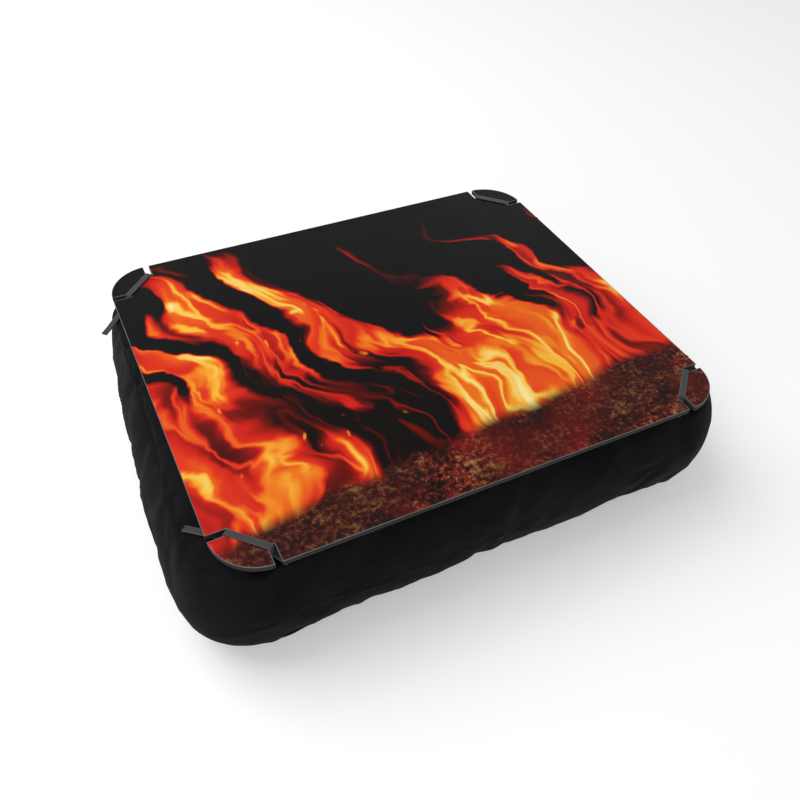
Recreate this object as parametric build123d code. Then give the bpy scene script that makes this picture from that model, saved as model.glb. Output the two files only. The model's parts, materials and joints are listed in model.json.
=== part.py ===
"""Lap tray with a bead-filled box cushion, held together by four elastic corner straps.

Millimetres, +Z up. The origin is on the floor under the middle of the tray, +X is the tray's
long side and the zip is in the cushion's back wall, at +Y.
"""

import os
from math import cos, radians

from build123d import *

# Tray board
board_width = 400.0
board_depth = 340.0
board_corner_radius = 35.0
core_thickness = 3.0
laminate_thickness = 0.5
laminate_edge_chamfer = 0.2
slot_width = 5.0
slot_depth = 15.5
slot_from_corner = 36.0
slot_end_radius = 1.2

# Cushion form
seam_width = 418.0
seam_depth = 330.0
seam_corner_radius = 44.0
seam_draw_in = 4.0
gusset_swell = 8.0
side_swell = 3.0
bottom_seam_height = 13.0
top_seam_height = 96.0
crown_rise = 7.7
top_flat_inset = 50.0
bottom_flat_inset = 30.0
# Each wall level: share of the height, share of the swell. The middle band is upright
gusset_shares = ((0, 0), (0.2, 0.62), (0.41, 1), (0.59, 1), (0.8, 0.62), (1, 0))
# Each crown and base level: share of the rise, share of the flat's inset, bow in draw-ins
crown_shares = ((0, 0, -1), (0.3, 0.12, -0.8), (0.6, 0.4, -0.3), (1, 1, 1))
base_shares = ((0, 0, -1), (0.5, 0.15, -0.8), (0.85, 0.5, -0.3), (1, 1, 1))
flat_cut_depth = 0.5
least_bow = 0.01
seat_gap = 0.3

# Cloth layers
cover_thickness = 0.8
tape_thickness = 0.6
liner_thickness = 0.5
layer_gap = 0.15
fill_gap = 0.3

# Corner straps
strap_width = 5.0
strap_thickness = 1.0
strap_bend_radius = 0.6
strap_gap = 0.1
strap_end_margin = 2.9
strap_tail_clearance = 1.3
strap_loose_end = 9.0

# Zip
zip_band_length = 320.0
zip_slot_gap = 0.6
zip_room = 3.0
tape_height = 14.0
tape_end_margin = 14.0
tooth_pitch = 3.0
tooth_count = 88
tooth_reach = 1.3
tooth_shoulder = 0.2
tooth_root_end = 3.0
tooth_head_width = 1.7
tooth_neck_width = 1.1
tooth_thickness = 2.2
stop_length = 2.4
stop_gap = 0.4

# Zip slider and pull
slider_gap = 0.3
slider_length = 10.5
slider_flare = 0.6
slider_plate = 0.9
flange_thickness = 0.8
wedge_length = 3.0
wedge_width = 2.6
bridge_length = 6.6
bridge_width = 1.6
bridge_bar = 1.1
pull_thickness = 1.2
pull_length = 24.0
pull_root_width = 6.4
pull_tip_width = 4.6
pull_window_length = 3.2
pull_hole_radius = 1.1
pull_gap = 0.25

cut_margin = 2.0

# Heights and depths that follow from the sizes above
cushion_height = top_seam_height + crown_rise
core_bottom = cushion_height + seat_gap + laminate_thickness
core_top = core_bottom + core_thickness
board_top = core_top + laminate_thickness
zip_height = (bottom_seam_height + top_seam_height) / 2
liner_inset = cover_thickness + tape_thickness + 2 * layer_gap
fill_inset = liner_inset + liner_thickness + fill_gap
tape_inset = cover_thickness + layer_gap
back_face = seam_depth / 2 + gusset_swell
tape_plane = back_face - tape_inset - tape_thickness / 2
teeth_length = tooth_count * tooth_pitch
plate_inner = tooth_thickness / 2 + slider_gap
plate_outer = plate_inner + slider_plate
slider_rear_width = 2 * (tooth_root_end + slider_gap + flange_thickness)
slider_front_width = slider_rear_width + 2 * slider_flare
zip_slot_height = slider_front_width + 2 * zip_slot_gap
# The free height under the slider's bridge: the pull's bar and its clearance each side
bridge_rise = pull_thickness + 2 * pull_gap
front_reach = seam_depth / 2 + gusset_swell + side_swell
back_reach = tape_plane + plate_outer + bridge_rise + bridge_bar
centre_shift = (front_reach - back_reach) / 2


def keep(shape, name, color):
    """Write one node's solids to its own file, with the object's box centred on the origin."""
    shape = Pos(0, centre_shift, 0) * shape
    shape.label = name
    shape.color = Color(*color)
    export_step(shape, f"parts/{name}.step")


def box_between(low, high):
    """A box from its lowest corner to its highest."""
    size = [b - a for a, b in zip(low, high)]
    centre = [(a + b) / 2 for a, b in zip(low, high)]
    return Pos(*centre) * Box(*size)


# Tray board and its two sheets
def tray_outline():
    """The board's face: a rounded rectangle with a slot on each side of each corner."""
    face = RectangleRounded(board_width, board_depth, board_corner_radius)
    reach = slot_depth + cut_margin
    across = Rectangle(reach, slot_width)
    across = fillet(across.vertices().group_by(Axis.X)[0], slot_end_radius)
    along = Rectangle(slot_width, reach)
    along = fillet(along.vertices().group_by(Axis.Y)[0], slot_end_radius)
    from_side = board_width / 2 - slot_depth + reach / 2
    from_front = board_depth / 2 - slot_depth + reach / 2
    slot_x = board_width / 2 - slot_from_corner
    slot_y = board_depth / 2 - slot_from_corner
    for turn_y in (1, -1):
        face -= Pos(from_side, turn_y * slot_y) * across
        face -= Pos(-from_side, turn_y * slot_y) * Rot(0, 0, 180) * across
    for turn_x in (1, -1):
        face -= Pos(turn_x * slot_x, from_front) * along
        face -= Pos(turn_x * slot_x, -from_front) * Rot(0, 0, 180) * along
    return face


def tray_layer(bottom, thickness):
    """One layer of the tray, cut to the board's outline."""
    return extrude(Pos(0, 0, bottom) * tray_outline(), thickness)


def printed_sheet():
    """The top sheet, with its upper edge broken all round so that it does not lift."""
    sheet = tray_layer(core_top, laminate_thickness)
    top_edges = sheet.faces().sort_by(Axis.Z)[-1].edges()
    return chamfer(top_edges, laminate_edge_chamfer)


# Cushion
def slab(low, high):
    """A slice of space between two heights, wider than the cushion."""
    return box_between((-seam_width, -seam_width, low), (seam_width, seam_width, high))


def bowed_side(start, end, bow_x, bow_y):
    """One side of a level: an arc bowed at its middle, or a straight line where it has no bow."""
    middle = ((start[0] + end[0]) / 2 + bow_x, (start[1] + end[1]) / 2 + bow_y)
    if abs(bow_x) + abs(bow_y) < least_bow:
        return Line(start, end)
    return ThreePointArc(start, middle, end)


def cushion_wire(width, depth, radius, bow, height, centre_y):
    """A level of the cushion: round corners, bowed front and sides, straight back.

    A positive bow swells the walls out between the corners, a negative one draws them in.
    """
    half_x = width / 2
    half_y = depth / 2
    on_arc = radius * (1 - cos(radians(45)))
    back = Line((half_x - radius, half_y), (-half_x + radius, half_y))
    left = bowed_side((-half_x, half_y - radius), (-half_x, -half_y + radius), -bow, 0)
    front = bowed_side((-half_x + radius, -half_y), (half_x - radius, -half_y), 0, -bow)
    right = bowed_side((half_x, -half_y + radius), (half_x, half_y - radius), bow, 0)
    corners = []
    for side_x, side_y in ((1, 1), (-1, 1), (-1, -1), (1, -1)):
        at_side = (side_x * half_x, side_y * (half_y - radius))
        at_middle = (side_x * (half_x - on_arc), side_y * (half_y - on_arc))
        at_end = (side_x * (half_x - radius), side_y * half_y)
        ends = (at_side, at_middle, at_end) if side_x * side_y > 0 else (at_end, at_middle, at_side)
        corners.append(ThreePointArc(*ends))
    edges = [corners[0], back, corners[1], left, corners[2], front, corners[3], right]
    return Pos(0, centre_y, height) * Wire([part.edge() for part in edges])


def level(inset, room, height, plan_inset, bow):
    """A cushion level that lies inset inside the cover, with room left free at the back."""
    total = inset + plan_inset
    return cushion_wire(
        seam_width - 2 * total,
        seam_depth - 2 * total - room,
        seam_corner_radius - inset - plan_inset / 2,
        bow,
        height,
        -room / 2,
    )


def gusset_form(inset, room=0.0):
    """The cushion between its two seams, swelling out most at half height."""
    height = top_seam_height - bottom_seam_height
    levels = []
    for up, swell in gusset_shares:
        bow = swell * (side_swell + seam_draw_in) - seam_draw_in
        levels.append(level(inset, room, bottom_seam_height + up * height, -swell * gusset_swell, bow))
    return Solid.make_loft(levels, ruled=True)


def crown_form(inset, room=0.0):
    """The crown above the top seam, pressed flat where the tray rests on it."""
    rise = cushion_height - inset - top_seam_height
    return Solid.make_loft(
        [
            level(inset, room, top_seam_height + rise * up, top_flat_inset * inward, bow * seam_draw_in)
            for up, inward, bow in crown_shares
        ],
        ruled=True,
    )


def base_form(inset, room=0.0):
    """The shallow base below the bottom seam, cut flat where it lies on the lap."""
    drop = bottom_seam_height - inset + flat_cut_depth
    form = Solid.make_loft(
        [
            level(inset, room, bottom_seam_height - drop * down, bottom_flat_inset * inward, bow * seam_draw_in)
            for down, inward, bow in base_shares
        ],
        ruled=True,
    )
    return form & slab(inset, top_seam_height)


def whole_form(inset, room):
    """The closed cushion form, for what lies inside the cover."""
    return base_form(inset, room) + gusset_form(inset, room) + crown_form(inset, room)


def back_zone(low, high, half_length, reach):
    """The part of the back wall between two heights."""
    start = seam_depth / 2 - reach
    return box_between((-half_length, start, low), (half_length, back_face + cut_margin, high))


def cover_gussets():
    """The side wall and the two halves of the back wall, with the zip's slot between them."""
    wall = gusset_form(0) - gusset_form(cover_thickness)
    reach = seam_corner_radius / 2
    half_band = zip_band_length / 2
    slot_low = zip_height - zip_slot_height / 2
    slot_high = zip_height + zip_slot_height / 2
    band = back_zone(bottom_seam_height, top_seam_height, half_band, reach)
    lower = wall & back_zone(bottom_seam_height, slot_low, half_band, reach)
    upper = wall & back_zone(slot_high, top_seam_height, half_band, reach)
    return wall - band, upper, lower


# Corner straps
def strap_path(run, side_tail, end_tail):
    """The strap's middle line in its own upright plane: across the tab, down and out.

    Each tail slopes from the slot to the cushion's top seam. The side tail goes on past it.
    """
    high = board_top + strap_gap + strap_thickness / 2
    low = core_bottom - laminate_thickness - strap_gap - strap_thickness
    seam = top_seam_height + strap_tail_clearance + strap_thickness
    loose = side_tail + strap_loose_end
    half_run = run / 2
    points = [
        (-half_run - loose, seam - strap_tail_clearance - strap_thickness),
        (-half_run - side_tail, seam),
        (-half_run, low),
        (-half_run, high),
        (half_run, high),
        (half_run, low),
        (half_run + end_tail, seam),
    ]
    return FilletPolyline(*points, radius=strap_bend_radius + strap_thickness / 2)


def corner_strap(side_x, side_y):
    """One elastic strap, laid across the tab between the inner ends of its two slots."""
    inner = slot_depth - strap_end_margin
    side_leg = (board_width / 2 - inner, board_depth / 2 - slot_from_corner)
    end_leg = (board_width / 2 - slot_from_corner, board_depth / 2 - inner)
    diagonal = 2**0.5
    run = (side_leg[0] - end_leg[0]) * diagonal
    side_tail = (seam_width / 2 - side_leg[0]) * diagonal
    end_tail = (seam_depth / 2 - end_leg[1]) * diagonal
    ribbon = trace(strap_path(run, side_tail, end_tail), strap_thickness)
    band = extrude(Plane.XZ * ribbon, strap_width / 2, both=True)
    if side_x > 0:
        band = mirror(band, about=Plane.YZ)
    centre_x = side_x * (side_leg[0] + end_leg[0]) / 2
    centre_y = side_y * (side_leg[1] + end_leg[1]) / 2
    turn = -45 if side_x * side_y > 0 else 45
    return Pos(centre_x, centre_y) * Rot(0, 0, turn) * band


# Zip
def zip_tape(side):
    """One woven tape, lying inside the wall and following its swell."""
    wall = gusset_form(tape_inset) - gusset_form(tape_inset + tape_thickness)
    half = teeth_length / 2 + tape_end_margin
    near = tooth_root_end
    far = tooth_root_end + tape_height
    low, high = (near, far) if side > 0 else (-far, -near)
    return wall & back_zone(zip_height + low, zip_height + high, half, seam_corner_radius / 2)


def tooth_profile():
    """A tooth from its root on the tape to its hooked head, a little past the middle."""
    head = tooth_head_width / 2
    neck = tooth_neck_width / 2
    right = [
        (head, -tooth_reach),
        (head, -tooth_shoulder),
        (neck, tooth_shoulder),
        (neck, tooth_root_end),
    ]
    left = [(-x, y) for x, y in reversed(right)]
    return make_face(Polyline(*right, *left, close=True))


def teeth_row(side):
    """One row of teeth. The lower row is the upper one turned over and moved half a pitch."""
    flat = extrude(tooth_profile(), tooth_thickness / 2, both=True)
    stand = Pos(0, tape_plane, zip_height) * Rot(90, 0, 0)
    first = -teeth_length / 2 + tooth_pitch / 4
    shift = 0 if side > 0 else tooth_pitch / 2
    turn = Rot(0, 0, 0) if side > 0 else Rot(180, 0, 0)
    row = []
    for number in range(tooth_count):
        row.append(Pos(first + shift + number * tooth_pitch, 0, 0) * stand * turn * flat)
    return Compound(row)


def stop_block(x, low, high):
    """A folded metal stop, clamped round the tape's edge."""
    half = tooth_thickness / 2
    return box_between(
        (x, tape_plane - half, zip_height + low),
        (x + stop_length, tape_plane + half, zip_height + high),
    )


def slider_parked():
    """Where the slider's rear end is when the zip is shut."""
    return -teeth_length / 2 + tooth_pitch


def slider_plate_face():
    """The slider's plate: wide shoulders at the front, narrow at the rear."""
    front = slider_front_width / 2
    rear = slider_rear_width / 2
    nose = wedge_width / 2
    outline = [
        (0, rear),
        (-slider_length + wedge_length, front),
        (-slider_length + wedge_length / 3, front),
        (-slider_length, nose),
    ]
    mirrored = [(x, -y) for x, y in reversed(outline)]
    return make_face(Polyline(*outline, *mirrored, close=True))


def slider_body():
    """Two plates joined by a wedge at the front, with side flanges and a bridge for the pull."""
    stand = Pos(slider_parked(), tape_plane, zip_height) * Rot(-90, 0, 0)
    plate = slider_plate_face()
    outer = extrude(Pos(0, 0, plate_inner) * plate, slider_plate)
    inner = extrude(Pos(0, 0, -plate_outer) * plate, slider_plate)
    slit = tape_thickness / 2 + slider_gap
    rim = plate - offset(plate, -flange_thickness)
    ends = Pos(-slider_length, 0) * Rectangle(wedge_length * 2, slider_front_width)
    ends += Rectangle(flange_thickness * 2, slider_rear_width - 2 * flange_thickness)
    rim = rim - ends
    flange_outer = extrude(Pos(0, 0, slit) * rim, plate_inner - slit)
    flange_inner = extrude(Pos(0, 0, -plate_inner) * rim, plate_inner - slit)
    wedge_outline = [
        (-slider_length, wedge_width / 2),
        (-slider_length + wedge_length, 0),
        (-slider_length, -wedge_width / 2),
    ]
    wedge = extrude(make_face(Polyline(*wedge_outline, close=True)), plate_inner, both=True)
    body = outer + inner + flange_outer + flange_inner + wedge
    return stand * (body + slider_bridge())


def slider_bridge():
    """An arched bridge over the outer plate, which the pull's bar turns under."""
    half = bridge_length / 2
    outer_arch = [
        (-half, 0),
        (-half + bridge_bar, bridge_rise + bridge_bar),
        (half - bridge_bar, bridge_rise + bridge_bar),
        (half, 0),
    ]
    inner_arch = [
        (-half + bridge_bar, 0),
        (-half + 2 * bridge_bar, bridge_rise),
        (half - 2 * bridge_bar, bridge_rise),
        (half - bridge_bar, 0),
    ]
    arch = make_face(Polyline(*outer_arch, close=True)) - make_face(Polyline(*inner_arch, close=True))
    upright = extrude(Plane.XZ * arch, bridge_width / 2, both=True)
    return Pos(-slider_length / 2, 0, plate_outer) * upright


def pull_bar_place():
    """The middle of the pull's bar, which is the axis that it swings about."""
    out = plate_outer + pull_gap + pull_thickness / 2
    return slider_parked() - slider_length / 2, tape_plane + out, zip_height


def pull_tab():
    """A tapered pull: a round bar under the bridge, a window round it and a hole at the tip."""
    bar_radius = pull_thickness / 2
    window_width = bridge_width + 4 * pull_gap
    root = pull_root_width / 2
    tip = pull_tip_width / 2
    start = bar_radius
    outline = [(0, root), (pull_length - tip, tip), (pull_length - tip, -tip), (0, -root)]
    face = make_face(Polyline(*outline, close=True)) + Pos(pull_length - tip, 0) * Circle(tip)
    face -= Pos(start + pull_window_length / 2, 0) * Rectangle(pull_window_length, window_width)
    face -= Pos(pull_length - tip, 0) * Circle(pull_hole_radius)
    face -= Rectangle(2 * start, pull_root_width)
    arms = (pull_root_width - window_width) / 2
    plate = extrude(face, bar_radius, both=True)
    bar = Rot(90, 0, 0) * Cylinder(bar_radius, pull_root_width)
    for side in (1, -1):
        arm = Pos(start / 2, side * (root - arms / 2), 0) * Box(start, arms, pull_thickness)
        plate += arm
    return Pos(*pull_bar_place()) * Rot(-90, 0, 0) * (plate + bar)


cloth = (0.06, 0.06, 0.07)
metal = (0.55, 0.55, 0.58)
os.makedirs("parts", exist_ok=True)

keep(tray_layer(core_bottom, core_thickness), "tray_board", (0.45, 0.32, 0.2))
keep(printed_sheet(), "top_laminate", (0.75, 0.2, 0.08))
keep(tray_layer(core_bottom - laminate_thickness, laminate_thickness), "backing_laminate", cloth)
keep(corner_strap(-1, -1), "strap_front_left", (0.2, 0.2, 0.22))
keep(corner_strap(1, -1), "strap_front_right", (0.2, 0.2, 0.22))
keep(corner_strap(-1, 1), "strap_back_left", (0.2, 0.2, 0.22))
keep(corner_strap(1, 1), "strap_back_right", (0.2, 0.2, 0.22))

side_gusset, back_gusset_upper, back_gusset_lower = cover_gussets()
keep(side_gusset, "side_gusset", cloth)
keep(back_gusset_upper, "back_gusset_upper", (0.1, 0.1, 0.12))
keep(back_gusset_lower, "back_gusset_lower", (0.1, 0.1, 0.12))
keep(crown_form(0) - crown_form(cover_thickness), "cover_top_panel", (0.08, 0.08, 0.1))
keep(base_form(0) - base_form(cover_thickness), "cover_bottom_panel", (0.08, 0.08, 0.1))
liner_outer = whole_form(liner_inset, zip_room)
keep(liner_outer - whole_form(liner_inset + liner_thickness, zip_room), "liner_bag", (0.8, 0.8, 0.78))
keep(whole_form(fill_inset, zip_room), "bead_fill", (0.95, 0.95, 0.95))

keep(zip_tape(1), "zip_tape_upper", (0.15, 0.15, 0.16))
keep(zip_tape(-1), "zip_tape_lower", (0.15, 0.15, 0.16))
keep(teeth_row(1), "zip_teeth_upper", (0.3, 0.3, 0.3))
keep(teeth_row(-1), "zip_teeth_lower", (0.35, 0.35, 0.35))
stop_near = tooth_shoulder
closed_end = slider_parked() - slider_length - stop_gap - stop_length
top_stops = [
    stop_block(closed_end, stop_near, tooth_root_end),
    stop_block(closed_end, -tooth_root_end, -stop_near),
]
keep(Compound(top_stops), "zip_top_stops", metal)
open_end = teeth_length / 2 + tooth_pitch / 2
keep(stop_block(open_end, -tooth_root_end, tooth_root_end), "zip_bottom_stop", metal)
keep(slider_body(), "zip_slider", metal)
keep(pull_tab(), "zip_pull", metal)

print(f"board top {board_top:.2f} mm, zip height {zip_height:.2f} mm, tape plane {tape_plane:.2f} mm")
pull_x, pull_y, pull_z = pull_bar_place()
print(f"slider travel {teeth_length - tooth_pitch:.2f} mm")
print(f"pull axis {pull_x:.3f}, {pull_y + centre_shift:.3f}, {pull_z:.3f}")
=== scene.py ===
# %% [markdown]
# # A lap tray on a bead-filled cushion
# The tray is a stiff printed board with slots at its corners. Four elastic straps hold it on a
# black box cushion. The solids come from the CAD model, and each cell below gives one of them
# its real look. The soft parts are made again as cloth, because a loft has no folds.
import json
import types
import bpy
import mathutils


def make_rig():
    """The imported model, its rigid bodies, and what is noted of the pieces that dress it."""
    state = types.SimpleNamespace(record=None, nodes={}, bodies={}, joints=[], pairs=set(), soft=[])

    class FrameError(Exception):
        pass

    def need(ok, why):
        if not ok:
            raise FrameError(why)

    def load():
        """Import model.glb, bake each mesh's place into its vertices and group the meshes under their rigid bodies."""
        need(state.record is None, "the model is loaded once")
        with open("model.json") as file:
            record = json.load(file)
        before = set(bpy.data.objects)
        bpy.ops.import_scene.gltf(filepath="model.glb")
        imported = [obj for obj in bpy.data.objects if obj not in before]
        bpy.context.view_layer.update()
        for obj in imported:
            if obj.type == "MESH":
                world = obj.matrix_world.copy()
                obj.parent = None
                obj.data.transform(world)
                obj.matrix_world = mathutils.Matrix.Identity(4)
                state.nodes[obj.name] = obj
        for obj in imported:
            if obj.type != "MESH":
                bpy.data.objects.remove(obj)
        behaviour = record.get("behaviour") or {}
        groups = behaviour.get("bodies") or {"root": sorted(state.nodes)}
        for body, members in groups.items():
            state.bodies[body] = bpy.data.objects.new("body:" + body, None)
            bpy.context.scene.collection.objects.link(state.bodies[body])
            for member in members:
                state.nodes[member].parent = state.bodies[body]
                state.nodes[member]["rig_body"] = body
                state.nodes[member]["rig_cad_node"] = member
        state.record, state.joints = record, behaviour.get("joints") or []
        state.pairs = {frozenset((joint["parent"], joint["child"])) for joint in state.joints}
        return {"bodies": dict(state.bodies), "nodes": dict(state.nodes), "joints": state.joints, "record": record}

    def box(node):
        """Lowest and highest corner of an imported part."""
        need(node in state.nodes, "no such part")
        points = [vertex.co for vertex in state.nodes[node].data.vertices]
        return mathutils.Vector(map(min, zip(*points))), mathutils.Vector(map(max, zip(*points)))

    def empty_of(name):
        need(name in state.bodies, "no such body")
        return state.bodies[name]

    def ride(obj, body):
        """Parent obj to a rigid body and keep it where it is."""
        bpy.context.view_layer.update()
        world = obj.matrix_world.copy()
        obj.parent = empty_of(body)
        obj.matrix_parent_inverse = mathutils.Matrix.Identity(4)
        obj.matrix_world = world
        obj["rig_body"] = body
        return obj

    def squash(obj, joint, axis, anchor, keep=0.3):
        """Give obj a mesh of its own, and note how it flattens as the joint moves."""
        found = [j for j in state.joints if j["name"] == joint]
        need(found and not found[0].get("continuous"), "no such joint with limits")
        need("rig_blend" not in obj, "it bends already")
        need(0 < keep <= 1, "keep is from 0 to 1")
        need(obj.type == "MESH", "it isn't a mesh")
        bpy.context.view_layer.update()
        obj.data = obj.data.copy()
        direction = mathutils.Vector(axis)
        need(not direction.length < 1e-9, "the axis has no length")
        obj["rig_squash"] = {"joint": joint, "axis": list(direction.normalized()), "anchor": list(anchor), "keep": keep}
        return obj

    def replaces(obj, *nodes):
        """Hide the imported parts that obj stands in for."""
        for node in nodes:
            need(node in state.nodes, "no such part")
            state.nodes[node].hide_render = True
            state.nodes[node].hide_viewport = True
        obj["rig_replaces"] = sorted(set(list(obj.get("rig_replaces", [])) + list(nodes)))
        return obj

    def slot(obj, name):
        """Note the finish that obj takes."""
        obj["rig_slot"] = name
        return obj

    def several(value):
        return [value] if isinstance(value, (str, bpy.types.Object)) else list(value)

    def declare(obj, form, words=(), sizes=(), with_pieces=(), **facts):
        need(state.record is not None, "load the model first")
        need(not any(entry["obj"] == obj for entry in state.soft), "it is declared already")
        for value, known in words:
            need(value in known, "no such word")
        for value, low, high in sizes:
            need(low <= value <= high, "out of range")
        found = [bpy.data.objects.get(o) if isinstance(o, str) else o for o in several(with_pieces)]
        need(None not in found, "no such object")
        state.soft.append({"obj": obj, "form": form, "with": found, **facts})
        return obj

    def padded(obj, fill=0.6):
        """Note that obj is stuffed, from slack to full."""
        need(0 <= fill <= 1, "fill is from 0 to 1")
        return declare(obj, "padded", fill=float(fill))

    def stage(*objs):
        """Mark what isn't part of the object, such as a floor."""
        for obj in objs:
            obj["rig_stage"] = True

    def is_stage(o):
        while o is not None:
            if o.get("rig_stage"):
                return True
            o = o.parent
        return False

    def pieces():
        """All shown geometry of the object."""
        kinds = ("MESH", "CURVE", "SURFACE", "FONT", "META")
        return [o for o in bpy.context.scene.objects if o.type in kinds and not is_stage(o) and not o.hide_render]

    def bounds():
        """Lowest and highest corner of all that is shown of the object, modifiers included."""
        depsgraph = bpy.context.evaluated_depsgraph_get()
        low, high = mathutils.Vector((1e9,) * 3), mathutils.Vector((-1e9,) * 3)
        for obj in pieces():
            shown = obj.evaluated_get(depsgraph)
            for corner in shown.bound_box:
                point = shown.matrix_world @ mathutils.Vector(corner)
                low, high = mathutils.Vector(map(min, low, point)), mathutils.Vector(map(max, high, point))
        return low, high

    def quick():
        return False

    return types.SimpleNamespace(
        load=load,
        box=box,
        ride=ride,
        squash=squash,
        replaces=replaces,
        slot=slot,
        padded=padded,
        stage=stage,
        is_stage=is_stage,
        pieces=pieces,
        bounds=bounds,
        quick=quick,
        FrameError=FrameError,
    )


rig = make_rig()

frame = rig.load()

import json
from math import cos, pi, radians, sin, sqrt

import bmesh
import bpy
import numpy as np
from mathutils import Euler, Vector, noise

cad_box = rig.bounds()
mm = 0.001
nodes = frame["nodes"]
scene = bpy.context.scene


def add_object(name, data):
    """A new object of the scene, made from a mesh, a light or a camera."""
    made = bpy.data.objects.new(name, data)
    scene.collection.objects.link(made)
    return made


def shade(mesh, smooth=True):
    mesh.polygons.foreach_set("use_smooth", [smooth] * len(mesh.polygons))


print("CAD box in mm:", [[round(value / mm, 1) for value in corner] for corner in cad_box])

# %% [markdown]
# ## Sizes read from the solids
# Every piece made here takes its place from the CAD solids, so that nothing has to be fitted.
# The board's top is the print, and the two panels of the cover give the heights of the seams.

# %% Read the sizes that the cloth needs
board_low, board_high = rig.box("top_laminate")
base_low, base_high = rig.box("cover_bottom_panel")
crown_low, crown_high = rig.box("cover_top_panel")
lip_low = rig.box("back_gusset_lower")[1].z
lip_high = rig.box("back_gusset_upper")[0].z

seam_half = Vector((base_high.x, (base_high.y - base_low.y) / 2))
centre_y = (base_high.y + base_low.y) / 2
bottom_seam = base_high.z
top_seam = crown_low.z
crown_top = crown_high.z
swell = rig.box("back_gusset_upper")[1].y - base_high.y
zip_height = (lip_low + lip_high) / 2
print(f"seams at {bottom_seam / mm:.1f} and {top_seam / mm:.1f} mm, wall swells {swell / mm:.1f} mm")

# %% [markdown]
# ## Camera
# The photograph looks down on the tray's front left corner from just under half a metre away.
# Its place was found from the board's corners, whose real size is known.

# %% Place the camera
sensor_width = 36
lens_length = 36.76
camera_place = (-0.23603, -0.45624, 0.53620)
camera_turn = (45.376, -1.851, -26.049)
camera_data = bpy.data.cameras.new("photo_camera")
camera_data.sensor_width = sensor_width
camera_data.lens = lens_length
camera = add_object("photo_camera", camera_data)
camera.location = camera_place
camera.rotation_euler = Euler([radians(angle) for angle in camera_turn])
scene.camera = camera
print("camera is", round(camera.location.length, 3), "m from the floor under the tray")

# %% [markdown]
# ## Floor and light
# A white sweep with a soft shadow is the plainest product picture. The floor is a pale matt
# sheet. What the camera sees of it gets a little glow, so that it reads as white without more
# light on the object, and the shadow is still there.

# %% Make the floor
floor_half = 6.0
floor_grey = 0.8
floor_glow = 0.34
floor_mesh = bpy.data.meshes.new("floor")
floor_mesh.from_pydata(
    [(-floor_half, -floor_half, 0), (floor_half, -floor_half, 0),
     (floor_half, floor_half, 0), (-floor_half, floor_half, 0)],
    [], [(0, 1, 2, 3)])
floor = add_object("floor", floor_mesh)
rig.stage(floor)


def seen_directly(tree):
    """1 for rays from the camera, a mirror or glass, and 0 for light that falls on things."""
    path = tree.nodes.new("ShaderNodeLightPath")
    either = tree.nodes.new("ShaderNodeMath")
    either.operation = "MAXIMUM"
    tree.links.new(path.outputs["Is Camera Ray"], either.inputs[0])
    tree.links.new(path.outputs["Is Glossy Ray"], either.inputs[1])
    both = tree.nodes.new("ShaderNodeMath")
    both.operation = "MAXIMUM"
    tree.links.new(either.outputs[0], both.inputs[0])
    tree.links.new(path.outputs["Is Transmission Ray"], both.inputs[1])
    return both.outputs[0]


floor_material = bpy.data.materials.new("floor_sweep")
floor_material.use_nodes = True
floor_tree = floor_material.node_tree
floor_tree.nodes.clear()
matt = floor_tree.nodes.new("ShaderNodeBsdfDiffuse")
matt.inputs["Color"].default_value = (floor_grey, floor_grey, floor_grey, 1)
glow = floor_tree.nodes.new("ShaderNodeEmission")
glow_strength = floor_tree.nodes.new("ShaderNodeMath")
glow_strength.operation = "MULTIPLY"
glow_strength.inputs[1].default_value = floor_glow
both_lights = floor_tree.nodes.new("ShaderNodeAddShader")
floor_out = floor_tree.nodes.new("ShaderNodeOutputMaterial")
floor_tree.links.new(seen_directly(floor_tree), glow_strength.inputs[0])
floor_tree.links.new(glow_strength.outputs[0], glow.inputs["Strength"])
floor_tree.links.new(matt.outputs[0], both_lights.inputs[0])
floor_tree.links.new(glow.outputs[0], both_lights.inputs[1])
floor_tree.links.new(both_lights.outputs[0], floor_out.inputs[0])
floor_mesh.materials.append(floor_material)

# %% [markdown]
# Two large soft lights stand on the left, a strong one high up behind the cushion and a weak one
# in front of it. The room adds an even pale light, which the camera sees as plain white.

# %% Light the room
room_light = 0.34
light_aim = Vector((0, 0, 0.05))
world = bpy.data.worlds.new("pale_room")
scene.world = world
world.use_nodes = True
world_tree = world.node_tree
world_tree.nodes.clear()
world_back = world_tree.nodes.new("ShaderNodeBackground")
world_out = world_tree.nodes.new("ShaderNodeOutputWorld")
world_mix = world_tree.nodes.new("ShaderNodeMapRange")
world_mix.inputs["To Min"].default_value = room_light
world_mix.inputs["To Max"].default_value = 1
world_back.inputs["Color"].default_value = (1, 1, 1, 1)
world_tree.links.new(seen_directly(world_tree), world_mix.inputs["Value"])
world_tree.links.new(world_mix.outputs[0], world_back.inputs["Strength"])
world_tree.links.new(world_back.outputs[0], world_out.inputs[0])


def soft_light(name, place, size, watts):
    """A square area light that points at the middle of the cushion."""
    data = bpy.data.lights.new(name, "AREA")
    data.size = size
    data.energy = watts
    light = add_object(name, data)
    light.location = place
    light.rotation_euler = (light_aim - light.location).to_track_quat("-Z", "Y").to_euler()


soft_light("key_light", (-1.0, 0.8, 2.0), 1.9, 38)
soft_light("fill_light", (-1.5, -1.3, 1.3), 1.6, 10)
scene.view_settings.view_transform = "Standard"
print("lights:", [o.name for o in scene.objects if o.type == "LIGHT"])

# %% [markdown]
# ## A small maker for materials
# Every finish below is a Principled shader with patterns wired into its colour, roughness and
# bump. This class keeps those wires short: each call adds one node and returns its output.


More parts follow.
